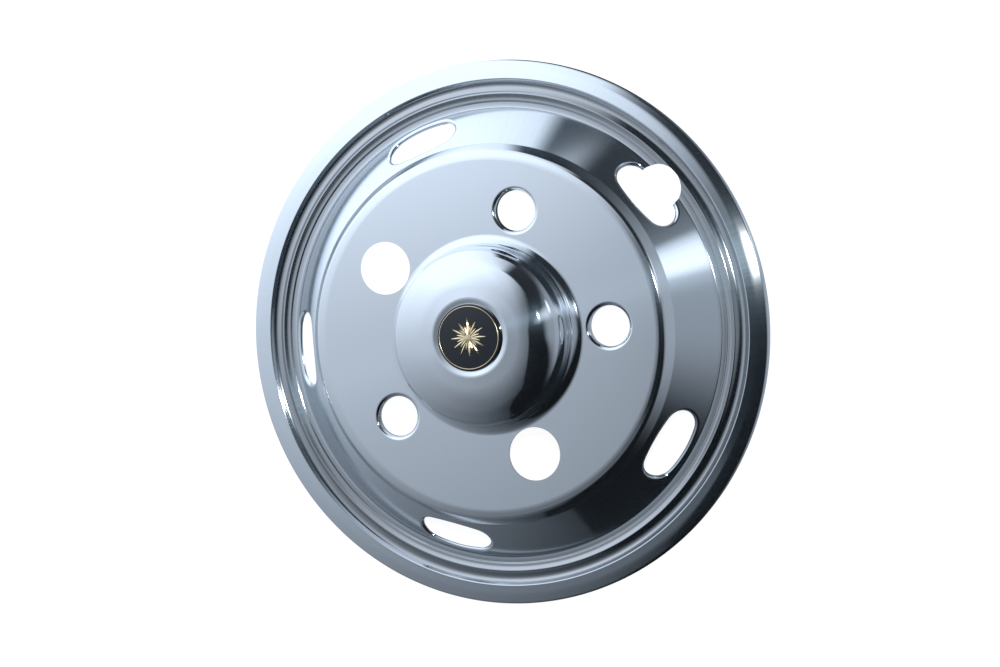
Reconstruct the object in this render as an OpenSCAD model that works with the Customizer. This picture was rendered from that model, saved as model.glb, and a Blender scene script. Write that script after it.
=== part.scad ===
// Wheel simulator: a mirror-polished stainless liner that covers a 16-inch five-stud truck wheel.
// It lies on its back with the wheel axis up, the rim's plane at z = 0 and the hub dome on top.
// One blank is pressed into the lip, the beaded ring, the sloping wall, the stud disc and the dome.

/* [Sheet] */
// Thickness of the stainless sheet
sheet_t = 1.0; // [0.6:0.1:1.2]
// Largest turn of a bend that one facet takes, in degrees
arc_step = 7; // [4:1:12]

/* [Lip] */
// Diameter over the flared lip
outer_d = 450; // [440:1:470]
// Depth of the edge that is turned back over the rim
hem_depth = 4.4; // [3.8:0.2:8]
// Radius at which the lip turns back into that edge
hem_bend = 2.6; // [2:0.2:3.6]
// Height of the lip's inner ridge
lip_ridge_z = 7.4; // [6.8:0.1:9]
// Width of the lip, from its edge to that ridge
lip_w = 15.7; // [13:0.1:18]
// Rise of the lip's slightly crowned middle over a straight line
lip_rise = 0.5; // [0.2:0.1:0.8]
// Radius of that crowned middle
lip_bend = 40; // [30:1:60]
// Radius of the sharp ridges and steps of the ring
ridge_bend = 1.4; // [1.3:0.1:1.8]

/* [Ring] */
// Width of the rounded channel inside the lip
channel_w = 11.8; // [11:0.1:14]
// Depth of the two straight flanks of that channel, where they would meet
channel_depth = 5.6; // [4:0.1:6]
// Radius of the channel's bottom
channel_bend = 6.2; // [5:0.1:6.4]
// Width of the ledge inside the channel
ledge_w = 7; // [6:0.1:9]
// Height of that ledge
ledge_z = 5.7; // [5.4:0.1:6.4]
// Radius of the ledge's soft hollow
ledge_bend = 7; // [5:0.5:9]
// Drop of the ledge's ridge below the lip's
ridge_drop = 0.4; // [0.2:0.1:0.6]
// Width of the low step beside the wall
step_w = 4.4; // [4:0.1:7]
// Height of that step
step_z = 4.8; // [4.2:0.1:5]
// Radius at both sides of the step
step_bend = 1; // [1:0.1:1.1]

/* [Wall and disc] */
// Height of the stud disc's face
disc_z = 45.5; // [43:0.5:56]
// Diameter over the disc's edge
disc_d = 300; // [292:1:304]
// Width of the soft fall just inside that edge
edge_w = 6; // [5:0.5:8]
// Depth of that fall
edge_fall = 1.0; // [0.6:0.1:1.2]
// Radius at which the fall begins
edge_soft_bend = 24; // [16:1:26]
// Radius of the disc's edge
disc_bend = 4.5; // [3.5:0.5:5]
// Width of the steep band below the edge, seen from above
band_w = 6; // [5:0.5:7]
// Height of that band
band_h = 9; // [8:0.5:10]
// Radius at which the band turns into the wall
band_bend = 6; // [4:0.5:8]

/* [Hub dome] */
// Diameter of the dome's upright side
dome_d = 145.4; // [130:0.2:148]
// Radius of the hollow curve at its foot
dome_foot_bend = 9.5; // [6:0.5:10]
// Height over the disc at which the dome's shoulder would be cornered
dome_shoulder_h = 34.2; // [32:0.2:45]
// Radius of that shoulder
dome_shoulder_bend = 20; // [14:0.5:22]
// Radius of the flattened crown
crown_bend = 88; // [60:1:95]
// Rise of the crown just inside the shoulder, in degrees
crown_pitch = 17; // [15:0.5:22]
// Rise of the crown at the brow of its recess, in degrees
brow_pitch = 5; // [3:0.5:8]

/* [Badge recess] */
// Diameter of the brow round the recess
recess_d = 63; // [62:0.5:68]
// Depth of the recess below its brow
recess_depth = 0.75; // [0.5:0.05:1]
// Width of the flat floor that shows round the badge
floor_rim = 0.6; // [0.4:0.1:1]
// Radius of the brow
brow_bend = 10; // [6:0.5:11]
// Radius where the side meets the floor
floor_bend = 3; // [2:0.2:4]

/* [Badge] */
// Diameter of the black badge
badge_d = 54; // [50:0.2:54.4]
// Thickness of the badge at its rim
badge_t = 2.2; // [1.8:0.1:3]
// Rise of its cushioned face over the rim
badge_crown = 0.9; // [0.4:0.1:1.6]
// Radius of the rim's rounded edge
badge_edge = 0.9; // [0.4:0.1:1.4]
// Diameter of the gilt ring's centre line
gilt_ring_d = 50.2; // [46:0.2:50.6]
// Width of the gilt ring
gilt_ring_w = 0.8; // [0.6:0.1:1.6]
// Height of the gilt work over the black face
gilt_h = 0.35; // [0.2:0.05:0.8]
// Depth to which the gilt work is let into the black face
gilt_seat = 0.4; // [0.2:0.05:0.8]
// Diameter over the rosette's long rays
rosette_d = 33; // [26:0.5:38]
// Number of long rays, with a short one between each two
rosette_rays = 12; // [8:1:16]
// Width of a ray at its widest
ray_w = 1.9; // [1.2:0.1:2.4]
// Place of that widest stretch, as a share of the ray's length
ray_waist = 0.55; // [0.4:0.05:0.7]
// Length of a short ray, as a share of a long one's
short_ray = 0.68; // [0.5:0.02:0.8]
// Diameter of the rosette's boss
boss_d = 6.4; // [4:0.2:9]

/* [Stud holes] */
// Diameter of the circle of studs
stud_circle_d = 208; // [205:1:212]
// Number of studs
stud_count = 5; // [5:1:5]
// Clear diameter of a hole with a drawn collar
stud_hole_d = 33; // [26:0.5:34]
// Radius at which the disc turns down into a collar
collar_bend = 3.5; // [2:0.1:4]
// Straight depth of a collar below its bend
collar_depth = 2; // [1:0.1:6]
// Diameter of a plain hole
plain_hole_d = 43.4; // [36:0.2:43.4]
// Places that have a plain hole, counted round the studs
plain_places = [2, 4]; // [0:1:4]

/* [Hand holes] */
// Length of a hand hole, round the wheel
hand_l = 61.5; // [56:0.5:66]
// Width of a hand hole, up the wall
hand_w = 30; // [26:0.5:31]
// Radius of its two long sides, which are slightly bowed
hand_side_bend = 100; // [75:5:140]
// Distance of its centre from the foot of the wall, along the slope
hand_from_foot = 20; // [19:0.5:22.5]
// Depth of the edge that is drawn back round it
hand_flange = 3; // [2:0.1:6]
// Turn of the hand holes past the middle between two studs
hand_turn = 0.3; // [0:0.1:0.6]
// That turn for the one that the valve lobe opens out
valve_turn = 1.1; // [0:0.1:1.5]

/* [Valve lobe] */
// Diameter of the round hole that opens one hand hole for the valve
valve_d = 38; // [34:0.5:41]
// Distance of its centre from the foot of the wall, towards the axis
valve_from_foot = 7.2; // [6:0.1:9]

/* [Hidden] */

$fn = 96;
turned_faces = 180;
collar_faces = 72;
steel = "silver";
enamel = [0.09, 0.10, 0.12];
gilt = [0.83, 0.70, 0.42];
overlap = 0.5;
through = 20;

outer_r = outer_d / 2;
lip_ridge_r = outer_r - lip_w;
channel_r = lip_ridge_r - channel_w / 2;
ledge_ridge_r = lip_ridge_r - channel_w;
ledge_r = ledge_ridge_r - ledge_w;
foot_r = ledge_r - step_w;
foot = [foot_r, step_z];
step_edge = 0.9;
step_fall = 0.2;
disc_corner = [disc_d / 2, disc_z - edge_fall];
wall_top = disc_corner + [band_w, -band_h];
dome_r = dome_d / 2;
pitch = 360 / stud_count;

// The wall runs straight from the band below the disc's edge down to its foot
wall_pitch = atan2(wall_top[1] - foot[1], foot[0] - wall_top[0]);
hand_r = foot_r - hand_from_foot * cos(wall_pitch);
hand_z = step_z + hand_from_foot * sin(wall_pitch);

// The crown leaves the shoulder at one rise, reaches the brow at another, and dips into the recess
shoulder = [dome_r, disc_z + dome_shoulder_h];
brow_r = recess_d / 2;
shoulder_reach = dome_shoulder_bend * tan((90 - crown_pitch) / 2);
crown_reach = shoulder_reach + crown_bend * tan((crown_pitch - brow_pitch) / 2);
crown = shoulder + crown_reach * [-cos(crown_pitch), sin(crown_pitch)];
brow = [brow_r, crown[1] + (crown[0] - brow_r) * tan(brow_pitch)];
floor_z = brow[1] - recess_depth;
floor_corner = [badge_d / 2 + floor_rim, floor_z];

// The pressed section, from the edge of the lip in to the axis: corner radius, height and bend
stations = [
    [outer_r, 0, 0],
    [outer_r, hem_depth, hem_bend],
    [outer_r - lip_w / 2, (hem_depth + lip_ridge_z) / 2 + lip_rise, lip_bend],
    [lip_ridge_r, lip_ridge_z, ridge_bend],
    [channel_r, lip_ridge_z - channel_depth, channel_bend],
    [ledge_ridge_r, lip_ridge_z - ridge_drop, ridge_bend],
    [ledge_r + ledge_w / 2, ledge_z, ledge_bend],
    [ledge_r + step_edge, ledge_z - step_fall, ridge_bend],
    [ledge_r, step_z, step_bend],
    [foot[0], foot[1], step_bend],
    [wall_top[0], wall_top[1], band_bend],
    [disc_corner[0], disc_corner[1], disc_bend],
    [disc_corner[0] - edge_w, disc_z, edge_soft_bend],
    [dome_r, disc_z, dome_foot_bend],
    [shoulder[0], shoulder[1], dome_shoulder_bend],
    [crown[0], crown[1], crown_bend],
    [brow[0], brow[1], brow_bend],
    [floor_corner[0], floor_corner[1], floor_bend],
    [0, floor_z, 0],
];

function place(s) = [s[0], s[1]];
function heading(a, b) = atan2(b[1] - a[1], b[0] - a[0]);
function turn(a, b, c) = let (w = heading(b, c) - heading(a, b)) w > 180 ? w - 360 : w < -180 ? w + 360 : w;
function left_of(h) = [-sin(h), cos(h)];

// One bend of the sheet, on the face that lies inset behind the polished one
function bend(a, b, c, radius, inset) =
    let (
        h = heading(a, b),
        w = turn(a, b, c),
        side = sign(w),
        start = b - radius * tan(abs(w) / 2) * [cos(h), sin(h)],
        centre = start + side * radius * left_of(h),
        reach = radius - side * inset,
        steps = max(1, ceil(abs(w) / arc_step))
    )
    [for (i = [0 : steps]) centre - side * reach * left_of(h + w * i / steps)];

// A whole face of the sheet, from the edge of the lip to the axis
function face(path, inset) =
    let (last = len(path) - 1)
    concat(
        [place(path[0]) + inset * left_of(heading(path[0], path[1]))],
        [for (i = [1 : last - 1]) each bend(path[i - 1], path[i], path[i + 1], path[i][2], inset)],
        [place(path[last]) + inset * left_of(heading(path[last - 1], path[last]))]
    );

function reversed(list) = [for (i = [len(list) - 1 : -1 : 0]) list[i]];

// A point beside the hand hole's centre: out along the slope, and up from the wall
function on_wall(along, up) = [
    hand_r + along * cos(wall_pitch) + up * sin(wall_pitch),
    hand_z - along * sin(wall_pitch) + up * cos(wall_pitch)
];

module pressed_sheet() {
    rotate_extrude($fn = turned_faces)
        polygon(concat(face(stations, 0), reversed(face(stations, sheet_t))));
}

module at_stud(i) {
    rotate([0, 0, i * pitch]) translate([stud_circle_d / 2, 0, disc_z]) children();
}

function hand_azimuth(i) = (i + 0.5) * pitch + (i == 0 ? valve_turn : hand_turn);

module at_hand(i) {
    rotate([0, 0, hand_azimuth(i)])
        translate([hand_r, 0, hand_z])
        rotate([0, wall_pitch, 0])
        children();
}

// The disc's sheet turned down into a stud hole
module stud_collar() {
    r = stud_hole_d / 2;
    rim = r + collar_bend;
    path = [[rim + overlap, 0, 0], [r, 0, collar_bend], [r, -collar_bend - collar_depth, 0]];
    rotate_extrude($fn = collar_faces)
        polygon(concat(face(path, 0), reversed(face(path, sheet_t))));
}

// A hand hole is an oval of four arcs: two long bowed sides, and two ends that meet them smoothly
side_centre = hand_side_bend - hand_w / 2;
half_l = hand_l / 2;
end_r = (pow(hand_side_bend, 2) - pow(side_centre, 2) - pow(half_l, 2)) / (2 * (hand_side_bend - half_l));
end_centre = half_l - end_r;
end_proud = 0.05;

// That oval, larger by a margin all round, as it lies on the wall. Its ends stand a hair proud of the
// sides, so that the arcs cross instead of only touching.
module hand_oval(margin = 0) {
    end = end_r + margin + end_proud;
    meeting_y = end_centre + (end - end_proud) * end_centre / norm([side_centre, end_centre]);
    intersection() {
        long_side(margin, -1);
        long_side(margin, 1);
        square([2 * hand_w, 2 * meeting_y], center = true);
    }
    for (s = [-1, 1]) translate([0, s * end_centre]) circle(end);
}

module long_side(margin, s) {
    translate([s * side_centre, 0]) circle(hand_side_bend + margin, $fn = 2 * turned_faces);
}

// The edge that is drawn back round a hand hole, held to the wall's own curve
module hand_edge(i) {
    margin = hand_w / 2 + 2 * sheet_t;
    intersection() {
        at_hand(i) translate([0, 0, -through]) linear_extrude(2 * through) hand_oval(sheet_t);
        rotate_extrude($fn = turned_faces) polygon([
            on_wall(-margin, -sheet_t / 2),
            on_wall(margin, -sheet_t / 2),
            on_wall(margin, -hand_flange),
            on_wall(-margin, -hand_flange)
        ]);
    }
}

module hand_opening(i) {
    at_hand(i) translate([0, 0, -through]) linear_extrude(2 * through) hand_oval();
}

module valve_opening() {
    rotate([0, 0, hand_azimuth(0)])
        translate([foot_r - valve_from_foot, 0, -1])
        cylinder(d = valve_d, h = disc_z + 1);
}

function is_plain(i) = len([for (p = plain_places) if (p == i) p]) > 0;

module wheel_liner() {
    color(steel)
    difference() {
        union() {
            difference() {
                pressed_sheet();
                for (i = [0 : stud_count - 1])
                    at_stud(i)
                    translate([0, 0, -through / 2])
                    cylinder(d = is_plain(i) ? plain_hole_d : stud_hole_d + 2 * collar_bend, h = through);
            }
            for (i = [0 : stud_count - 1])
                if (!is_plain(i)) at_stud(i) stud_collar();
            for (i = [0 : stud_count - 1]) hand_edge(i);
        }
        for (i = [0 : stud_count - 1]) hand_opening(i);
        valve_opening();
    }
}

// Radius of the badge's cushioned face, from its chord and its rise
face_r = badge_d / 2 - badge_edge;
face_steps = 10;
cushion_r = (face_r * face_r + badge_crown * badge_crown) / (2 * badge_crown);
badge_rim_z = floor_z + badge_t;
function cushion_z(r) = badge_rim_z + sqrt(cushion_r * cushion_r - r * r) - (cushion_r - badge_crown);

module badge_disc() {
    rim = badge_d / 2;
    turns = [0 : 2 * arc_step : 90];
    edge = [for (a = turns) [face_r + badge_edge * cos(a), badge_rim_z - badge_edge * (1 - sin(a))]];
    top = [for (i = [0 : face_steps]) let (r = face_r * (1 - i / face_steps)) [r, cushion_z(r)]];
    color(enamel)
    difference() {
        rotate_extrude() polygon(concat([[0, floor_z], [rim, floor_z]], edge, top));
        gilt_ring_blank();
        rosette_blank();
    }
}

module gilt_ring_blank() {
    r = gilt_ring_d / 2;
    z = cushion_z(r);
    rotate_extrude() polygon([
        [r - gilt_ring_w / 2, z - gilt_seat],
        [r + gilt_ring_w / 2, z - gilt_seat],
        [r + gilt_ring_w / 2, z + gilt_h / 2],
        [r + gilt_ring_w / 4, z + gilt_h],
        [r - gilt_ring_w / 4, z + gilt_h],
        [r - gilt_ring_w / 2, z + gilt_h / 2]
    ]);
}

// Long and short rays by turns round a small boss
module rosette_outline() {
    r = rosette_d / 2;
    circle(d = boss_d);
    for (i = [0 : 2 * rosette_rays - 1]) {
        reach = i % 2 == 0 ? r : short_ray * r;
        waist = ray_waist * reach;
        rotate([0, 0, i * 180 / rosette_rays])
            polygon([[0, 0], [waist, -ray_w / 2], [reach, 0], [waist, ray_w / 2]]);
    }
}

module rosette_blank() {
    radii = [for (i = [0 : face_steps]) rosette_d / 2 * i / face_steps];
    intersection() {
        translate([0, 0, badge_rim_z - gilt_seat])
            linear_extrude(badge_crown + 2 * gilt_h + gilt_seat)
            rosette_outline();
        rotate_extrude() polygon(concat(
            [for (r = radii) [r, cushion_z(r) + gilt_h]],
            [for (r = reversed(radii)) [r, cushion_z(r) - gilt_seat]]
        ));
    }
}

module badge_gilt_ring() {
    color(gilt) gilt_ring_blank();
}

module badge_rosette() {
    color(gilt) rosette_blank();
}

wheel_liner();
badge_disc();
badge_gilt_ring();
badge_rosette();
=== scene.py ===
from math import atan2, ceil, copysign, cos, hypot, pi, radians, remainder, sin, sqrt, tan

import bmesh
import bpy
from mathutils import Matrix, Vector
from mathutils.geometry import delaunay_2d_cdt
from mathutils.kdtree import KDTree


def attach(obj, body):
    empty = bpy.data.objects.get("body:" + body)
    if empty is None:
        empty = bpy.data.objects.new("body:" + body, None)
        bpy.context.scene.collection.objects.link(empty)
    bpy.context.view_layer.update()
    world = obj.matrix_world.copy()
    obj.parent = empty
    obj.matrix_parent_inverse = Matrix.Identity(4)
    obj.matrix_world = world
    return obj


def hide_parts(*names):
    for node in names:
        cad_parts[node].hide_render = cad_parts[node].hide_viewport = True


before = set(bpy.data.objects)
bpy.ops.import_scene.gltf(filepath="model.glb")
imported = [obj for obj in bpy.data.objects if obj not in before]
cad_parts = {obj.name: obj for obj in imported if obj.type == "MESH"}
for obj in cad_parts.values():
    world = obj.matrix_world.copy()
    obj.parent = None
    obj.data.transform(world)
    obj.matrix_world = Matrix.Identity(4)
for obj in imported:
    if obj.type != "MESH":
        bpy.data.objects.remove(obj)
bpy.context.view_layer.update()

# Pressed section of the liner: one blank of stainless sheet, drawn over a die in a few strokes.
# Corner radius, height and bend radius of each station, from the edge of the lip in to the axis,
# as the solids have them. The polished face is the die's own curve, so its bends are true arcs.
mm = 0.001
sheet = 1.0 * mm
outer_r = 225 * mm
hem_z = 4.4 * mm
ridge_r = outer_r - 15.7 * mm
ridge_z = 7.4 * mm
channel_w = 11.8 * mm
channel_z = 1.8 * mm
ledge_ridge_r = ridge_r - channel_w
ledge_r = ledge_ridge_r - 7 * mm
ledge_z = 5.7 * mm
foot_r = ledge_r - 4.4 * mm
foot_z = 4.8 * mm
disc_r = 150 * mm
disc_z = 45.5 * mm
edge_w = 6 * mm
edge_fall = 1.0 * mm
wall_top_r = disc_r + 6 * mm
wall_top_z = disc_z - edge_fall - 9 * mm
dome_r = 72.7 * mm
shoulder_z = disc_z + 34.2 * mm
shoulder_bend = 20 * mm
crown_bend = 88 * mm
crown_pitch = radians(17)
brow_pitch = radians(5)
brow_r = 31.5 * mm
recess_depth = 0.75 * mm
badge_r = 27 * mm
floor_rim = 0.6 * mm

shoulder_reach = shoulder_bend * tan((pi / 2 - crown_pitch) / 2)
crown_reach = shoulder_reach + crown_bend * tan((crown_pitch - brow_pitch) / 2)
crown_r = dome_r - crown_reach * cos(crown_pitch)
crown_z = shoulder_z + crown_reach * sin(crown_pitch)
brow_z = crown_z + (crown_r - brow_r) * tan(brow_pitch)
floor_z = brow_z - recess_depth

stations = [
    (outer_r, 0, 0),
    (outer_r, hem_z, 2.6 * mm),
    (outer_r - 7.85 * mm, 6.4 * mm, 40 * mm),
    (ridge_r, ridge_z, 1.4 * mm),
    (ridge_r - channel_w / 2, channel_z, 6.2 * mm),
    (ledge_ridge_r, ridge_z - 0.4 * mm, 1.4 * mm),
    (ledge_r + 3.5 * mm, ledge_z, 7 * mm),
    (ledge_r + 0.9 * mm, ledge_z - 0.2 * mm, 1.4 * mm),
    (ledge_r, foot_z, 1 * mm),
    (foot_r, foot_z, 1 * mm),
    (wall_top_r, wall_top_z, 6 * mm),
    (disc_r, disc_z - edge_fall, 4.5 * mm),
    (disc_r - edge_w, disc_z, 24 * mm),
    (dome_r, disc_z, 9.5 * mm),
    (dome_r, shoulder_z, shoulder_bend),
    (crown_r, crown_z, crown_bend),
    (brow_r, brow_z, 10 * mm),
    (badge_r + floor_rim, floor_z, 3 * mm),
    (0, floor_z, 0),
]
foot_place, dome_place = 9, 13


def bent(before, corner, after):
    """One bend of a section: radius, height and outward direction of points along it, more on wide bends."""
    into = atan2(corner[1] - before[1], corner[0] - before[0])
    turn = remainder(atan2(after[1] - corner[1], after[0] - corner[0]) - into, 2 * pi)
    side = copysign(1, turn)
    back = corner[2] * tan(abs(turn) / 2)
    centre_r = corner[0] - back * cos(into) - side * corner[2] * sin(into)
    centre_z = corner[1] - back * sin(into) + side * corner[2] * cos(into)
    steps_per_turn = 30 + 4 * corner[2] / mm
    count = max(3, ceil(abs(turn) / (2 * pi) * steps_per_turn))
    headings = [into + turn * i / count for i in range(count + 1)]
    return [
        (centre_r + side * corner[2] * sin(h), centre_z - side * corner[2] * cos(h), sin(h), -cos(h))
        for h in headings
    ]


bends = [bent(*stations[i:i + 3]) for i in range(len(stations) - 2)]
ring_rows = [(outer_r, 0, 1, 0)] + [row for bend in bends[:foot_place] for row in bend]
disc_edge_rows = [row for bend in bends[foot_place:dome_place - 1] for row in bend]
dome_rows = [row for bend in bends[dome_place - 1:] for row in bend] + [(0, floor_z, 0, 1)]

# Polished face of the liner: the section turned round the axis, with the wall and the stud disc left
# open for their holes. Each point keeps the true direction of the metal, so reflections run smoothly.
points, looks, faces = [], [], []


def lay(new_points, new_looks, new_faces):
    """Adds a patch to the polished face."""
    first = len(points)
    points.extend(Vector(p) for p in new_points)
    looks.extend(Vector(n).normalized() for n in new_looks)
    faces.extend([first + i for i in face] for face in new_faces)


def turned(rows, count, centre=(0, 0), base_z=0):
    """A section turned round an upright axis."""
    new_points, new_looks = [], []
    for r, z, look_r, look_z in rows:
        for j in range(count):
            c, s = cos(2 * pi * j / count), sin(2 * pi * j / count)
            new_points.append((centre[0] + r * c, centre[1] + r * s, base_z + z))
            new_looks.append((look_r * c, look_r * s, look_z))
    new_faces = [
        (i * count + j, i * count + (j + 1) % count, (i + 1) * count + (j + 1) % count, (i + 1) * count + j)
        for i in range(len(rows) - 1)
        for j in range(count)
    ]
    lay(new_points, new_looks, new_faces)


around = 320
around_dome = 160
turned(ring_rows, around)
turned(disc_edge_rows, around)
turned(dome_rows, around_dome)

# Stud disc: five holes on one circle. Three are drawn down into short collars that the wheel nuts
# stand in, and two are pierced plain and wider. The flat between them is one clean face.


def filled(outline_points, loops, keep):
    """Triangles over flat points, with the loops as edges, where keep says so."""
    edges = [(loop[i - 1], loop[i]) for loop in loops for i in range(len(loop))]
    flat, _, triangles, *_ = delaunay_2d_cdt([Vector(p) for p in outline_points], edges, [], 0, 1e-9)
    kept = []
    for triangle in triangles:
        middle = sum((flat[i] for i in triangle), Vector((0, 0))) / 3
        if keep(middle):
            kept.append(triangle)
    return flat, kept


def circle(r, count, centre=(0, 0)):
    return [
        (centre[0] + r * cos(2 * pi * j / count), centre[1] + r * sin(2 * pi * j / count))
        for j in range(count)
    ]


stud_circle_r = 104 * mm
stud_hole_r = 16.5 * mm
collar_bend = 3.5 * mm
collar_depth = 2 * mm
plain_hole_r = 21.7 * mm
plain_studs = (2, 4)
around_stud = 96

flat_outer_r = disc_edge_rows[-1][0]
flat_inner_r = dome_rows[0][0]
rim_r = stud_hole_r + collar_bend
collar_rows = bent((rim_r + mm, 0, 0), (stud_hole_r, 0, collar_bend), (stud_hole_r, -1, 0))
collar_rows.append((stud_hole_r, -collar_bend - collar_depth, -1, 0))
disc_points = circle(flat_outer_r, around) + circle(flat_inner_r, around_dome)
disc_loops = [list(range(around)), list(range(around, around + around_dome))]
stud_holes = []
for i in range(5):
    azimuth = 2 * pi * i / 5
    stud = (stud_circle_r * cos(azimuth), stud_circle_r * sin(azimuth))
    hole_r = plain_hole_r if i in plain_studs else rim_r
    stud_holes.append((Vector(stud), hole_r))
    disc_loops.append(list(range(len(disc_points), len(disc_points) + around_stud)))
    disc_points += circle(hole_r, around_stud, stud)
    if i not in plain_studs:
        turned(collar_rows, around_stud, stud, disc_z)


def on_flat(p):
    if not flat_inner_r < p.length < flat_outer_r:
        return False
    return all((p - stud).length > hole_r for stud, hole_r in stud_holes)


flat, triangles = filled(disc_points, disc_loops, on_flat)
lay([(p.x, p.y, disc_z) for p in flat], [(0, 0, 1)] * len(flat), triangles)

# Wall: a cone with five long hand holes, each with its edge rolled in and drawn back. The cone is
# laid out flat, cut round the holes and rolled up again, as its pattern would be on paper.
wall_pitch = atan2(wall_top_z - foot_z, foot_r - wall_top_r)
shrink = cos(wall_pitch)
wall_outer_r = ring_rows[-1][0]
wall_inner_r = disc_edge_rows[0][0]
hand_w = 30 * mm
hand_l = 61.5 * mm
side_bend = 100 * mm
side_centre = side_bend - hand_w / 2
end_r = (side_bend ** 2 - side_centre ** 2 - (hand_l / 2) ** 2) / (2 * side_bend - hand_l)
end_centre = hand_l / 2 - end_r
meeting = atan2(end_centre, side_centre)
hand_roll = 3 * mm
hand_depth = 3 * mm
hand_r = foot_r - 20 * mm * shrink
hand_turns = [radians(1.1)] + 4 * [radians(0.3)]
hand_azimuths = [2 * pi * (i + 0.5) / 5 + turn for i, turn in enumerate(hand_turns)]


def laid_out(r, azimuth):
    """A point of the wall on its flat pattern, which is cut open at azimuth 0."""
    slant, turn = r / shrink, (azimuth - pi) * shrink
    return slant * cos(turn), slant * sin(turn)


def rolled_up(x, y, depth=0):
    """A point of the flat pattern back on the wall, or that deep under its face."""
    azimuth = atan2(y, x) / shrink + pi
    r = hypot(x, y) * shrink
    z = foot_z + (foot_r - r) * tan(wall_pitch)
    out = Vector((cos(azimuth), sin(azimuth), 0))
    look = out * sin(wall_pitch) + Vector((0, 0, cos(wall_pitch)))
    return out * r + Vector((0, 0, z)) - look * depth, look, azimuth


def hand_outline(margin, side_count=16, end_count=26):
    """An oval of four arcs, that margin larger all round: points and their outward directions."""
    side_reach, end_reach = side_bend + margin, end_r + margin
    half = []
    for i in range(side_count):
        a = meeting * (2 * i / side_count - 1)
        half.append((side_reach * cos(a) - side_centre, side_reach * sin(a), cos(a), sin(a)))
    for i in range(end_count):
        a = meeting + (pi - 2 * meeting) * i / end_count
        half.append((end_reach * cos(a), end_centre + end_reach * sin(a), cos(a), sin(a)))
    return half + [tuple(-v for v in row) for row in half]


def hand_distance(x, y, azimuth):
    """How far a point of the flat pattern lies outside a hand hole's clear edge."""
    turn = (azimuth - pi) * shrink
    across = abs(x * cos(turn) + y * sin(turn) - hand_r / shrink)
    along = abs(y * cos(turn) - x * sin(turn))
    if atan2(along, across + side_centre) < meeting:
        return hypot(across + side_centre, along) - side_bend
    return hypot(across, along - end_centre) - end_r


clear_of_roll = 1.5 * mm
wall_points, wall_loops = [], []
columns = [2 * pi * j / around for j in range(around + 1)]
wall_bands = 8
slopes = [wall_inner_r + (wall_outer_r - wall_inner_r) * i / wall_bands for i in range(wall_bands + 1)]
rim = [laid_out(wall_outer_r, a) for a in columns] + [laid_out(wall_inner_r, a) for a in reversed(columns)]
wall_loops.append(list(range(len(rim))))
wall_points += rim
for r in slopes[1:-1]:
    for a in columns[1:-1]:
        x, y = laid_out(r, a)
        if all(hand_distance(x, y, azimuth) > hand_roll + clear_of_roll for azimuth in hand_azimuths):
            wall_points.append((x, y))

roll_steps = 8
roll = [(0, hand_depth, pi / 2)]
for i in range(roll_steps + 1):
    fall = pi / 2 * (1 - i / roll_steps)
    roll.append((hand_roll * (1 - sin(fall)), hand_roll * (1 - cos(fall)), fall))
for azimuth in hand_azimuths:
    turn = (azimuth - pi) * shrink
    c, s = cos(turn), sin(turn)
    slot_points, slot_looks = [], []
    for margin, depth, fall in roll:
        for across, along, out_x, out_y in hand_outline(margin):
            across += hand_r / shrink
            x, y = across * c - along * s, across * s + along * c
            point, look, a = rolled_up(x, y, depth)
            own = (a - azimuth) * shrink
            down = Vector((cos(a) * cos(wall_pitch), sin(a) * cos(wall_pitch), -sin(wall_pitch)))
            round_axis = Vector((-sin(a), cos(a), 0))
            down_share = out_x * cos(own) + out_y * sin(own)
            round_share = out_y * cos(own) - out_x * sin(own)
            away = down * down_share + round_axis * round_share
            slot_points.append(point)
            slot_looks.append(look * cos(fall) - away * sin(fall))
            if fall < 1e-9:
                wall_points.append((x, y))
    count = len(hand_outline(0))
    wall_loops.append(list(range(len(wall_points) - count, len(wall_points))))
    lay(slot_points, slot_looks, [
        (i * count + j, i * count + (j + 1) % count, (i + 1) * count + (j + 1) % count, (i + 1) * count + j)
        for i in range(len(roll) - 1)
        for j in range(count)
    ])


def on_wall(p):
    azimuth = atan2(p.y, p.x) / shrink + pi
    if not (0 < azimuth < 2 * pi and wall_inner_r < p.length * shrink < wall_outer_r):
        return False
    return all(hand_distance(p.x, p.y, hand) > hand_roll for hand in hand_azimuths)


flat, triangles = filled(wall_points, wall_loops, on_wall)
placed = [rolled_up(p.x, p.y) for p in flat]
lay([p[0] for p in placed], [p[1] for p in placed], triangles)

# Joining: the patches are one sheet, so points that two of them share become one, and every face turns
# its front outwards.
same_place = 0.001 * mm
near = KDTree(len(points))
for i, point in enumerate(points):
    near.insert(point, i)
near.balance()
number, joined_points, joined_looks = [], [], []
for point, look in zip(points, looks):
    first = min(i for _, i, _ in near.find_range(point, same_place))
    if first < len(number):
        number.append(number[first])
    else:
        number.append(len(joined_points))
        joined_points.append(point)
        joined_looks.append(look)
joined_faces = []
for face in faces:
    loop = []
    for i in face:
        if number[i] not in loop:
            loop.append(number[i])
    if len(loop) < 3:
        continue
    a, b, c = (joined_points[i] for i in loop[:3])
    if (b - a).cross(c - a).dot(joined_looks[loop[0]]) < 0:
        loop.reverse()
    joined_faces.append(loop)

# Valve lobe: a round hole punched straight down through the wall, the ring and one hand hole, so that
# the tyre's valve can be reached. Faces that cross it are trimmed at the punch.
valve_r = 19 * mm
valve_centre = Vector((cos(hand_azimuths[0]), sin(hand_azimuths[0]))) * (foot_r - 7.2 * mm)
punched = {}


def cleared(i):
    return (joined_points[i].xy - valve_centre).length - valve_r


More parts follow.
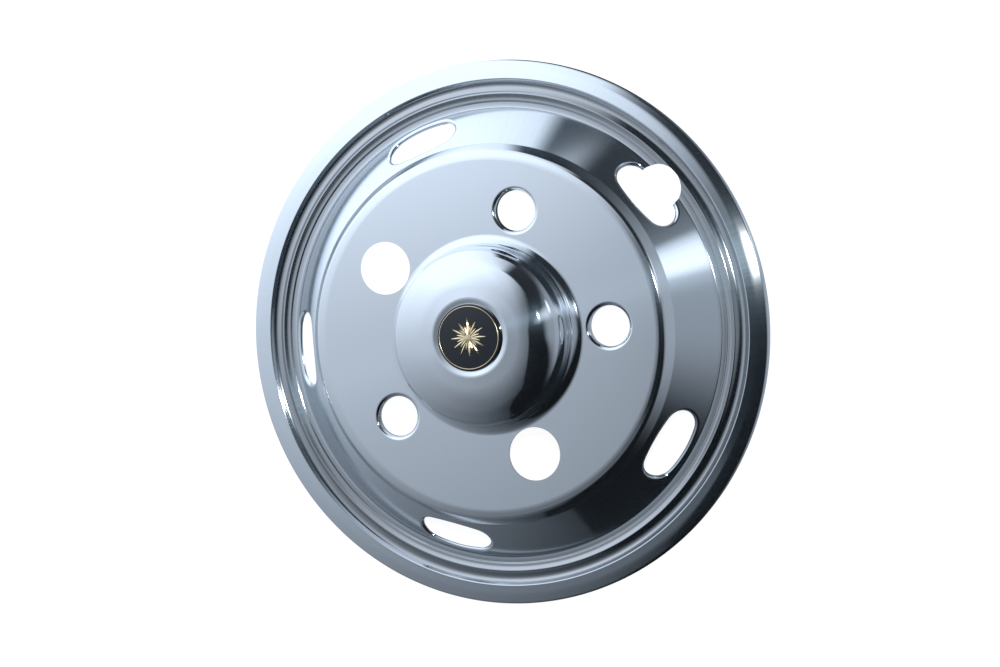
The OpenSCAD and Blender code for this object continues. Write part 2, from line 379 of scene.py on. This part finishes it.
def trimmed(i, j):
    """The point where the edge from i to j meets the punch."""
    key = (min(i, j), max(i, j))
    if key not in punched:
        start, step = joined_points[i], joined_points[j] - joined_points[i]
        off = start.xy - valve_centre
        a, b, c = step.xy.length_squared, 2 * off.dot(step.xy), off.length_squared - valve_r ** 2
        root = sqrt(b * b - 4 * a * c)
        t = min(((-b + k * root) / (2 * a) for k in (1, -1)), key=lambda v: abs(v - 0.5))
        punched[key] = len(joined_points)
        joined_points.append(start + step * t)
        joined_looks.append(joined_looks[i].lerp(joined_looks[j], t).normalized())
    return punched[key]


clearance = [cleared(i) for i in range(len(joined_points))]
cut_faces = []
for face in joined_faces:
    if all(clearance[i] > 0 for i in face):
        cut_faces.append(face)
    elif any(clearance[i] > 0 for i in face):
        loop = []
        for i, j in zip(face, face[1:] + face[:1]):
            if clearance[i] > 0:
                loop.append(i)
            if (clearance[i] > 0) != (clearance[j] > 0):
                loop.append(trimmed(i, j))
        cut_faces.append(loop)

# Thickness: the sheet's back lies one thickness behind its face, and a narrow band closes every edge. The
# punch cuts straight down, so the band round the valve lobe is upright.
used = sorted({i for face in cut_faces for i in face})
place = {i: k for k, i in enumerate(used)}
front = [[place[i] for i in face] for face in cut_faces]
front_points = [joined_points[i] for i in used]
front_looks = [joined_looks[i] for i in used]
by_punch = {place[i] for i in punched.values() if i in place}
back_points = []
for k, (point, look) in enumerate(zip(front_points, front_looks)):
    upright = k in by_punch and look.z > 0.5
    back_points.append(point - (Vector((0, 0, sheet / look.z)) if upright else look * sheet))
count = len(used)
ways = {(face[n - 1], face[n]) for face in front for n in range(len(face))}
bands = [(j, i, i + count, j + count) for i, j in ways if (j, i) not in ways]
band_looks = {}
all_points = front_points + back_points
for band in bands:
    a, b, c = (all_points[i] for i in band[:3])
    look = (b - a).cross(c - a).normalized()
    for i in band:
        band_looks[i] = band_looks.get(i, Vector()) + look

liner_mesh = bpy.data.meshes.new("liner_shell")
liner_mesh.from_pydata(all_points, [], front + [[i + count for i in reversed(f)] for f in front] + bands)
liner_mesh.shade_smooth()
corner_looks = [front_looks[i] for face in front for i in face]
corner_looks += [-front_looks[i] for face in front for i in reversed(face)]
corner_looks += [band_looks[i].normalized() for band in bands for i in band]
liner_mesh.normals_split_custom_set(corner_looks)
liner = bpy.data.objects.new("liner_shell", liner_mesh)
bpy.context.scene.collection.objects.link(liner)

# Steel: polished with a buff as it turned, which leaves faint marks round the axis. They draw every bright
# reflection out towards the axis, most of all on the wall and the ring, and least on the dome. Over the
# ring's ledge and channel the metal is painted a darker tone: painted shade for the dimmer reflections
# there.
steel_tone, channel_painted_shade, haze_tone = (0.78, 0.80, 0.83, 1), (0.43, 0.42, 0.42, 1), (0.50, 0.76, 0.95, 1)
stud_side_r = 95 * mm
ledge_side_r = 188 * mm
# Painted shade: over the ring's ledge and channel the base colour is darker than the steel elsewhere.
painted_shade_tones = [
    (foot_r - 2 * mm, steel_tone), (foot_r + 3 * mm, channel_painted_shade),
    (ridge_r - 3 * mm, channel_painted_shade), (ridge_r + mm, steel_tone),
]
roughnesses = [
    (dome_r, 0.04), (stud_side_r, 0.06), (disc_r, 0.07),
    (wall_top_r, 0.09), (ledge_side_r, 0.10), (outer_r, 0.08),
]
haze_shares = [
    (dome_r, 0.04), (stud_side_r, 0.03), (disc_r, 0.04),
    (wall_top_r, 0.10), (ledge_side_r, 0.09), (outer_r, 0.06),
]
marks_pull, marks_turn = 0.6, 0.25
marks_scale, marks_detail = 70, 4
marks_low, marks_high, least_haze, most_haze = 0.35, 0.65, 0.8, 1.2
haze_roughness = 0.36

steel = bpy.data.materials.new("polished_stainless")
steel.use_nodes = True
tree = steel.node_tree
place = tree.nodes.new("ShaderNodeTexCoord")
flat_place = tree.nodes.new("ShaderNodeVectorMath")
flat_place.operation = "MULTIPLY"
flat_place.inputs[1].default_value = (1, 1, 0)
distance = tree.nodes.new("ShaderNodeVectorMath")
distance.operation = "LENGTH"
reach = tree.nodes.new("ShaderNodeMath")
reach.operation = "DIVIDE"
reach.inputs[1].default_value = outer_r


def by_radius(stops):
    """A level or a colour that changes with the distance from the axis."""
    node = tree.nodes.new("ShaderNodeValToRGB")
    while len(node.color_ramp.elements) < len(stops):
        node.color_ramp.elements.new(0.5)
    for element, (r, level) in zip(node.color_ramp.elements, stops):
        element.position = r / outer_r
        element.color = level if isinstance(level, tuple) else (level, level, level, 1)
    tree.links.new(reach.outputs[0], node.inputs[0])
    return node.outputs["Color"]


marks = tree.nodes.new("ShaderNodeTangent")
marks.direction_type = "RADIAL"
marks.axis = "Z"
shine = tree.nodes["Principled BSDF"]
shine.inputs["Base Color"].default_value = steel_tone
shine.inputs["Metallic"].default_value = 1
shine.inputs["Anisotropic"].default_value = marks_pull
shine.inputs["Anisotropic Rotation"].default_value = marks_turn
haze = tree.nodes.new("ShaderNodeBsdfAnisotropic")
haze.inputs["Color"].default_value = haze_tone
haze.inputs["Roughness"].default_value = haze_roughness
haze.inputs["Anisotropy"].default_value = marks_pull
around_place = tree.nodes.new("ShaderNodeVectorMath")
around_place.operation = "NORMALIZE"
grain = tree.nodes.new("ShaderNodeTexNoise")
grain.inputs["Scale"].default_value = marks_scale
grain.inputs["Detail"].default_value = marks_detail
uneven = tree.nodes.new("ShaderNodeMapRange")
for socket, level in (
    ("From Min", marks_low), ("From Max", marks_high), ("To Min", least_haze), ("To Max", most_haze),
):
    uneven.inputs[socket].default_value = level
marked = tree.nodes.new("ShaderNodeMath")
marked.operation = "MULTIPLY"
blend = tree.nodes.new("ShaderNodeMixShader")
for source, target in (
    (place.outputs["Object"], flat_place.inputs[0]),
    (flat_place.outputs[0], distance.inputs[0]),
    (distance.outputs["Value"], reach.inputs[0]),
    (flat_place.outputs[0], around_place.inputs[0]),
    (around_place.outputs[0], grain.inputs["Vector"]),
    (grain.outputs[0], uneven.inputs["Value"]),
    (uneven.outputs[0], marked.inputs[0]),
    (by_radius(haze_shares), marked.inputs[1]),
    (marked.outputs[0], blend.inputs[0]),
    (marks.outputs[0], shine.inputs["Tangent"]),
    (marks.outputs[0], haze.inputs["Tangent"]),
    # painted shade: the darker tone over the ring's ledge and channel
    (by_radius(painted_shade_tones), shine.inputs["Base Color"]),
    (by_radius(roughnesses), shine.inputs["Roughness"]),
    (shine.outputs[0], blend.inputs[1]),
    (haze.outputs[0], blend.inputs[2]),
    (blend.outputs[0], tree.nodes["Material Output"].inputs["Surface"]),
):
    tree.links.new(source, target)
liner_mesh.materials.append(steel)
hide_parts("wheel_liner")
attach(liner, "root")

# Badge: a black enamelled disc with a glossy, cushioned face and a rounded rim. It is set on the floor of
# the dome's recess, and its face carries the gilt work.


def polished(name, colour, metallic, smoothest, roughest, grain_scale):
    """A finish of one colour whose polish varies a little from place to place."""
    material = bpy.data.materials.new(name)
    material.use_nodes = True
    nodes, links = material.node_tree.nodes, material.node_tree.links
    inputs = nodes["Principled BSDF"].inputs
    inputs["Base Color"].default_value = (*colour, 1)
    inputs["Metallic"].default_value = metallic
    place = nodes.new("ShaderNodeTexCoord")
    grain = nodes.new("ShaderNodeTexNoise")
    grain.inputs["Scale"].default_value = grain_scale
    polish = nodes.new("ShaderNodeMapRange")
    polish.inputs["To Min"].default_value = smoothest
    polish.inputs["To Max"].default_value = roughest
    links.new(place.outputs["Object"], grain.inputs["Vector"])
    links.new(grain.outputs[0], polish.inputs["Value"])
    links.new(polish.outputs[0], inputs["Roughness"])
    return material


def revolved(name, profile, material, count=180):
    """A closed ring or disc: a profile of radius and height turned round the axis."""
    mesh = bpy.data.meshes.new(name)
    shape = bmesh.new()
    corners = [shape.verts.new((r, 0, z)) for r, z in profile]
    first = 0 if profile[0][0] else 1
    edges = [shape.edges.new((corners[i - 1], corners[i])) for i in range(first, len(corners))]
    bmesh.ops.spin(
        shape, geom=corners + edges, axis=(0, 0, 1), cent=(0, 0, 0), angle=2 * pi, steps=count,
        use_merge=True,
    )
    bmesh.ops.remove_doubles(shape, verts=shape.verts, dist=1e-6)
    bmesh.ops.recalc_face_normals(shape, faces=shape.faces)
    shape.to_mesh(mesh)
    shape.free()
    mesh.shade_smooth()
    mesh.set_sharp_from_angle(angle=radians(50))
    mesh.materials.append(material)
    piece = bpy.data.objects.new(name, mesh)
    bpy.context.scene.collection.objects.link(piece)
    return piece


badge_edge = 0.9 * mm
badge_crown = 0.9 * mm
badge_side = 2.2 * mm
badge_rim_z = floor_z + badge_side
face_r = badge_r - badge_edge
cushion_r = (face_r ** 2 + badge_crown ** 2) / (2 * badge_crown)


def cushion_z(r):
    return badge_rim_z + sqrt(cushion_r ** 2 - r ** 2) - (cushion_r - badge_crown)


enamel = polished("black_enamel", (0.012, 0.014, 0.02), 0, 0.04, 0.10, 300)
quarter_turn = [radians(15 * i) for i in range(7)]
badge_foot = [(0, floor_z), (badge_r, floor_z)]
badge_rim = [(face_r + badge_edge * cos(a), badge_rim_z - badge_edge * (1 - sin(a))) for a in quarter_turn]
badge_top = [(face_r * i / 12, cushion_z(face_r * i / 12)) for i in range(11, -1, -1)]
badge = revolved("badge_face", badge_foot + badge_rim + badge_top, enamel)
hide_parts("badge_disc")
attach(badge, "root")

# Gilt ring: a thin half-round wire of gilt metal, bent to a circle. It is let into the badge near its
# rim and frames the rosette.
ring_r = 25.1 * mm
ring_w = 0.8 * mm
gilt_h = 0.35 * mm
gilt_seat = 0.4 * mm
gilt = polished("gilt", (0.86, 0.71, 0.45), 1, 0.16, 0.32, 1200)
ring_z = cushion_z(ring_r)
half_turn = [radians(20 * i) for i in range(10)]
arch = [(ring_r + ring_w / 2 * cos(a), ring_z + gilt_h * sin(a)) for a in half_turn]
ring_foot = [(ring_r - ring_w / 2, ring_z - gilt_seat), (ring_r + ring_w / 2, ring_z - gilt_seat)]
ring = revolved("gilt_ring", ring_foot + arch, gilt)
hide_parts("badge_gilt_ring")
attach(ring, "root")

# Rosette: long and short rays by turns round a small boss, one gilt piece let into the badge. Each ray has
# a ridge along its middle, so its two sides catch the light in turn.
rosette_r = 16.5 * mm
ray_count = 12
ray_w = 1.9 * mm
ray_waist = 0.55
ray_edge = 0.08 * mm
short_ray = 0.68
boss_r = 3.2 * mm


def ray(name, reach, steps=8):
    """One ray along X: a ridged sliver that is widest at its waist."""
    sections = []
    for i in range(steps + 1):
        r = reach * i / steps
        t = i / steps
        half = ray_w / 2 * (t / ray_waist if t < ray_waist else (1 - t) / (1 - ray_waist))
        z = cushion_z(r)
        ridge = [(-half, -gilt_seat), (-half, ray_edge), (0, gilt_h), (half, ray_edge), (half, -gilt_seat)]
        sections.append([(r, across, z + rise) for across, rise in ridge])
    mesh = bpy.data.meshes.new(name)
    count = len(sections[0])
    faces = [
        ((i + 1) * count + j, (i + 1) * count + (j + 1) % count, i * count + (j + 1) % count, i * count + j)
        for i in range(steps)
        for j in range(count)
    ]
    mesh.from_pydata([p for section in sections for p in section], [], faces)
    shape = bmesh.new()
    shape.from_mesh(mesh)
    bmesh.ops.remove_doubles(shape, verts=shape.verts, dist=1e-6)
    shape.to_mesh(mesh)
    shape.free()
    return bpy.data.objects.new(name, mesh)


long_one, short_one = ray("long_ray", rosette_r), ray("short_ray", short_ray * rosette_r)
boss_foot = [(0, cushion_z(0) - gilt_seat), (boss_r, cushion_z(boss_r) - gilt_seat)]
boss_top = [(boss_r * cos(a), cushion_z(boss_r * cos(a)) + gilt_h * sin(a)) for a in quarter_turn]
boss = revolved("boss", boss_foot + boss_top, gilt, 48)

group = bpy.data.node_groups.new("rosette", "GeometryNodeTree")
rays_input = group.interface.new_socket("Rays", in_out="INPUT", socket_type="NodeSocketInt")
group.interface.new_socket("Geometry", in_out="OUTPUT", socket_type="NodeSocketGeometry")
start = group.nodes.new("NodeGroupInput")
joined = group.nodes.new("GeometryNodeJoinGeometry")
index = group.nodes.new("GeometryNodeInputIndex")
step = group.nodes.new("ShaderNodeMath")
step.operation = "DIVIDE"
step.inputs[0].default_value = 2 * pi
group.links.new(start.outputs[0], step.inputs[1])
for source, offset in ((long_one, 0), (short_one, 0.5)):
    places = group.nodes.new("GeometryNodePoints")
    group.links.new(start.outputs[0], places.inputs["Count"])
    shape_info = group.nodes.new("GeometryNodeObjectInfo")
    shape_info.inputs["Object"].default_value = source
    shifted = group.nodes.new("ShaderNodeMath")
    shifted.inputs[1].default_value = offset
    group.links.new(index.outputs[0], shifted.inputs[0])
    turn_by = group.nodes.new("ShaderNodeMath")
    turn_by.operation = "MULTIPLY"
    group.links.new(shifted.outputs[0], turn_by.inputs[0])
    group.links.new(step.outputs[0], turn_by.inputs[1])
    turning = group.nodes.new("ShaderNodeCombineXYZ")
    group.links.new(turn_by.outputs[0], turning.inputs["Z"])
    copies = group.nodes.new("GeometryNodeInstanceOnPoints")
    group.links.new(places.outputs[0], copies.inputs["Points"])
    group.links.new(shape_info.outputs["Geometry"], copies.inputs["Instance"])
    group.links.new(turning.outputs[0], copies.inputs["Rotation"])
    group.links.new(copies.outputs[0], joined.inputs[0])
middle = group.nodes.new("GeometryNodeObjectInfo")
middle.inputs["Object"].default_value = boss
group.links.new(middle.outputs["Geometry"], joined.inputs[0])
real = group.nodes.new("GeometryNodeRealizeInstances")
gilding = group.nodes.new("GeometryNodeSetMaterial")
gilding.inputs["Material"].default_value = gilt
group.links.new(joined.outputs[0], real.inputs[0])
group.links.new(real.outputs[0], gilding.inputs["Geometry"])
group.links.new(gilding.outputs[0], group.nodes.new("NodeGroupOutput").inputs[0])

holder = bpy.data.objects.new("rosette_holder", bpy.data.meshes.new("rosette_holder"))
for each in (long_one, short_one, holder):
    bpy.context.scene.collection.objects.link(each)
modifier = holder.modifiers.new("rosette", "NODES")
modifier.node_group = group
modifier[rays_input.identifier] = ray_count
bpy.context.view_layer.update()
baked = bpy.data.meshes.new_from_object(holder.evaluated_get(bpy.context.evaluated_depsgraph_get()))
rosette = bpy.data.objects.new("rosette", baked)
bpy.context.scene.collection.objects.link(rosette)
for each in (long_one, short_one, boss, holder):
    bpy.data.objects.remove(each)
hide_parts("badge_rosette")
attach(rosette, "root")

# Camera: above the wheel simulator and a little to one side, as the photograph was taken. Its place and
# turn were fitted to the circles of the lip, ring, disc, dome and studs.
camera_place = (0.8345, 0.0522, 2.3373)
camera_turn = (radians(-2.912), radians(19.594), radians(-5.036))
camera_lens, camera_sensor = 108, 36
camera_data = bpy.data.cameras.new("camera")
camera_data.sensor_width = camera_sensor
camera_data.lens = camera_lens
camera = bpy.data.objects.new("camera", camera_data)
camera.location = camera_place
camera.rotation_euler = camera_turn
bpy.context.scene.collection.objects.link(camera)
bpy.context.scene.camera = camera

# Light tent: a plain pale tent of cloth round the wheel simulator, lit through the cloth from one side.
# It is dark round the slot that the camera looks through. A narrow strip of light, a soft low glow and a
# small lamp stand beside that slot. Directions are headings from +X, or parts of a unit direction.
tent_r = 1.3
tent_tint = (0.87, 0.985, 1.13, 1)
cloth_levels = [
    (0, 0.01), (45, 0.04), (60, 0.20), (75, 0.60), (90, 1.1), (110, 1.4),
    (145, 1.4), (160, 1.12), (180, 0.72), (195, 0.52), (210, 0.37), (225, 0.25),
    (240, 0.18), (255, 0.12), (270, 0.058), (285, 0.015), (360, 0.01),
]
zenith_bright, zenith_dim, zenith_reach = 0.52, 0.16, 0.6
zenith_start, zenith_end = -0.45, 0.2
skirt_heading, skirt_half, skirt_soft, skirt_share = radians(67), radians(19), radians(4), 0.96
skirt_start, skirt_end = 0.100, 0.122
slot_edge, slot_lean, slot_curve, slot_back = 0.08, 0.65, -1.25, 0.8
slot_soft, slot_spread, slot_level, slot_lift = 0.02, 0.10, 0.009, 0.03
panel_heading, panel_core, panel_spread = radians(4), radians(8), radians(50)
panel_start, panel_end, panel_level = 0.45, 0.90, 0.34
low_heading, low_core, low_spread = radians(12), radians(25), radians(62)
low_start, low_end, low_level = -0.2, 0.3, 0.13
strip_heading, strip_width, strip_level = radians(16.5), radians(9), 0.5
strip_start, strip_end, strip_top, strip_foot = 0.15, 0.35, 0.55, 0.3
glow_place, glow_reach, glow_level = (0.907, 0.357, 0.222), cos(radians(8)), 1.0


def tent_light(tree):
    """Adds the tent's glow to a node tree: the colour of its cloth in the direction of a point."""
    def calc(operation, *values):
        node = tree.nodes.new("ShaderNodeMath")
        node.operation = operation
        for socket, value in zip(node.inputs, values):
            if isinstance(value, bpy.types.NodeSocket):
                tree.links.new(value, socket)
            else:
                socket.default_value = value
        return node.outputs[0]

    def ramp(value, low, high, to_low=0, to_high=1):
        node = tree.nodes.new("ShaderNodeMapRange")
        node.interpolation_type = "SMOOTHSTEP"
        for name, given in (("Value", value), ("From Min", low), ("From Max", high)):
            if isinstance(given, bpy.types.NodeSocket):
                tree.links.new(given, node.inputs[name])
            else:
                node.inputs[name].default_value = given
        node.inputs["To Min"].default_value = to_low
        node.inputs["To Max"].default_value = to_high
        return node.outputs[0]

    def mixed(share, first, second):
        return calc("MULTIPLY_ADD", share, calc("SUBTRACT", second, first), first)

    place = tree.nodes.new("ShaderNodeTexCoord")
    direction = tree.nodes.new("ShaderNodeVectorMath")
    direction.operation = "NORMALIZE"
    tree.links.new(place.outputs["Object"], direction.inputs[0])
    parts = tree.nodes.new("ShaderNodeSeparateXYZ")
    tree.links.new(direction.outputs[0], parts.inputs[0])
    x, y, z = parts.outputs
    upper = calc("MAXIMUM", y, 0)
    heading = calc("ARCTAN2", y, x)

    cloth = tree.nodes.new("ShaderNodeValToRGB")
    stops = cloth.color_ramp.elements
    while len(stops) < len(cloth_levels):
        stops.new(0.5)
    for stop, (degrees, level) in zip(stops, cloth_levels):
        stop.position = degrees / 360
        stop.color = (level, level, level, 1)
    tree.links.new(calc("FRACT", calc("DIVIDE", heading, 2 * pi)), cloth.inputs[0])
    overhead = calc("SQRT", calc("SUBTRACT", 1, calc("MULTIPLY", z, z)))
    zenith = ramp(x, zenith_start, zenith_end, zenith_bright, zenith_dim)
    body = mixed(ramp(overhead, 0, zenith_reach), zenith, cloth.outputs["Color"])
    # Skirt: the cloth is darker low down over one heading. The board glows with this light too, so there it
    # is a painted dark patch that the steel reflects.
    aside = calc("ABSOLUTE", calc("SUBTRACT", heading, skirt_heading))
    skirt = ramp(aside, skirt_half - skirt_soft, skirt_half + skirt_soft, skirt_share, 0)
    skirt = calc("MULTIPLY", skirt, ramp(z, skirt_start, skirt_end, 1, 0))
    body = calc("MULTIPLY", body, calc("SUBTRACT", 1, skirt))

    bulge = calc("MULTIPLY_ADD", calc("MULTIPLY_ADD", upper, slot_curve, slot_lean), upper, slot_edge)
    edge = calc("MAXIMUM", bulge, calc("MULTIPLY_ADD", upper, slot_back, -slot_back / 2))
    soft = calc("MULTIPLY_ADD", upper, slot_spread, slot_soft)
    in_slot = ramp(x, calc("SUBTRACT", edge, soft), calc("ADD", edge, soft))
    from_panel = calc("ABSOLUTE", calc("SUBTRACT", heading, panel_heading))
    spread = calc("MULTIPLY_ADD", calc("SUBTRACT", 1, z), panel_spread, panel_core)
    panel = ramp(x, panel_start, panel_end, 0, panel_level)
    panel = calc("MULTIPLY", panel, ramp(from_panel, panel_core, spread, 1, 0))
    from_low = calc("ABSOLUTE", calc("SUBTRACT", heading, low_heading))
    low = ramp(z, low_start, low_end, low_level, 0)
    low = calc("MULTIPLY", low, ramp(from_low, low_core, low_spread, 1, 0))
    slot = calc("ADD", calc("MULTIPLY_ADD", upper, slot_lift, slot_level), calc("ADD", panel, low))
    glow = mixed(in_slot, body, slot)

    from_strip = calc("ABSOLUTE", calc("SUBTRACT", heading, strip_heading))
    strip = ramp(from_strip, 0, strip_width, strip_level, 0)
    strip = calc("MULTIPLY", strip, ramp(x, strip_start, strip_end))
    strip = calc("MULTIPLY", strip, ramp(z, 0, strip_top, strip_foot, 1))

    nearness = calc("MULTIPLY", x, glow_place[0])
    nearness = calc("MULTIPLY_ADD", y, glow_place[1], nearness)
    nearness = calc("MULTIPLY_ADD", z, glow_place[2], nearness)
    low_glow = ramp(nearness, glow_reach, 1, 0, glow_level)
    return calc("ADD", calc("ADD", glow, strip), low_glow)


def glowing(name):
    """A material that glows as the tent does, with its tree and glow left open for more."""
    material = bpy.data.materials.new(name)
    material.use_nodes = True
    tree = material.node_tree
    tree.nodes.clear()
    glow = tree.nodes.new("ShaderNodeEmission")
    glow.inputs["Color"].default_value = tent_tint
    tree.links.new(tent_light(tree), glow.inputs["Strength"])
    return material, tree, glow


cloth, tree, glow = glowing("tent_cloth")
cloth.cycles.emission_sampling = "NONE"
tree.links.new(glow.outputs[0], tree.nodes.new("ShaderNodeOutputMaterial").inputs["Surface"])
tent_mesh = bpy.data.meshes.new("tent")
shape = bmesh.new()
bmesh.ops.create_icosphere(shape, subdivisions=5, radius=tent_r)
shape.to_mesh(tent_mesh)
shape.free()
tent_mesh.materials.append(cloth)
tent = bpy.data.objects.new("tent", tent_mesh)
bpy.context.scene.collection.objects.link(tent)
tent.visible_camera = False

# Lamp: one small lamp beside the tent's slot. It gives the steel its sparks, and the polishing marks draw
# a haze round each of them.
lamp_place, lamp_radius, lamp_power = (0.452, 0.169, 1.153), 0.022, 20
lamp_data = bpy.data.lights.new("lamp", "POINT")
lamp_data.energy = lamp_power
lamp_data.shadow_soft_size = lamp_radius
lamp = bpy.data.objects.new("lamp", lamp_data)
lamp.location = lamp_place
bpy.context.scene.collection.objects.link(lamp)

# Floor: a plain pale board under the wheel simulator. The camera sees it near white, with the soft
# shadow on it. To the polished metal it glows with the tent's light: painted light, not light that falls on
# it.
board_r = 1.25
board_sides = 96
floor_white, floor_shade, floor_lit = 0.94, 0.22, 0.85
board, tree, glow = glowing("pale_board_painted_glow")
board.cycles.emission_sampling = "NONE"
rays = tree.nodes.new("ShaderNodeLightPath")
shading = tree.nodes.new("ShaderNodeBsdfDiffuse")
shading.inputs["Color"].default_value = (floor_shade, floor_shade, floor_shade, 1)
white = tree.nodes.new("ShaderNodeEmission")
white.inputs["Strength"].default_value = floor_white
both = tree.nodes.new("ShaderNodeAddShader")
tree.links.new(shading.outputs[0], both.inputs[0])
tree.links.new(white.outputs[0], both.inputs[1])
lit = tree.nodes.new("ShaderNodeBsdfDiffuse")
lit.inputs["Color"].default_value = (floor_lit, floor_lit, floor_lit, 1)
seen = tree.nodes.new("ShaderNodeMixShader")
tree.links.new(rays.outputs["Is Camera Ray"], seen.inputs[0])
tree.links.new(lit.outputs[0], seen.inputs[1])
tree.links.new(both.outputs[0], seen.inputs[2])
# Painted reflection: mirror rays see the board glow with the tent's light instead of a lit surface.
mirrored = tree.nodes.new("ShaderNodeMixShader")
tree.links.new(rays.outputs["Is Glossy Ray"], mirrored.inputs[0])
tree.links.new(seen.outputs[0], mirrored.inputs[1])
tree.links.new(glow.outputs[0], mirrored.inputs[2])
tree.links.new(mirrored.outputs[0], tree.nodes.new("ShaderNodeOutputMaterial").inputs["Surface"])
floor_mesh = bpy.data.meshes.new("floor")
floor_mesh.from_pydata([(x, y, 0) for x, y in circle(board_r, board_sides)], [], [range(board_sides)])
floor_mesh.materials.append(board)
floor = bpy.data.objects.new("floor", floor_mesh)
bpy.context.scene.collection.objects.link(floor)

# World: plain white beyond the board. Only the camera sees it, because the tent hides it from the steel
# and from the floor.
world = bpy.data.worlds.new("white")
world.use_nodes = True
world.node_tree.nodes["Background"].inputs["Color"].default_value = (1, 1, 1, 1)
bpy.context.scene.world = world
bpy.context.scene.view_settings.view_transform = "Standard"
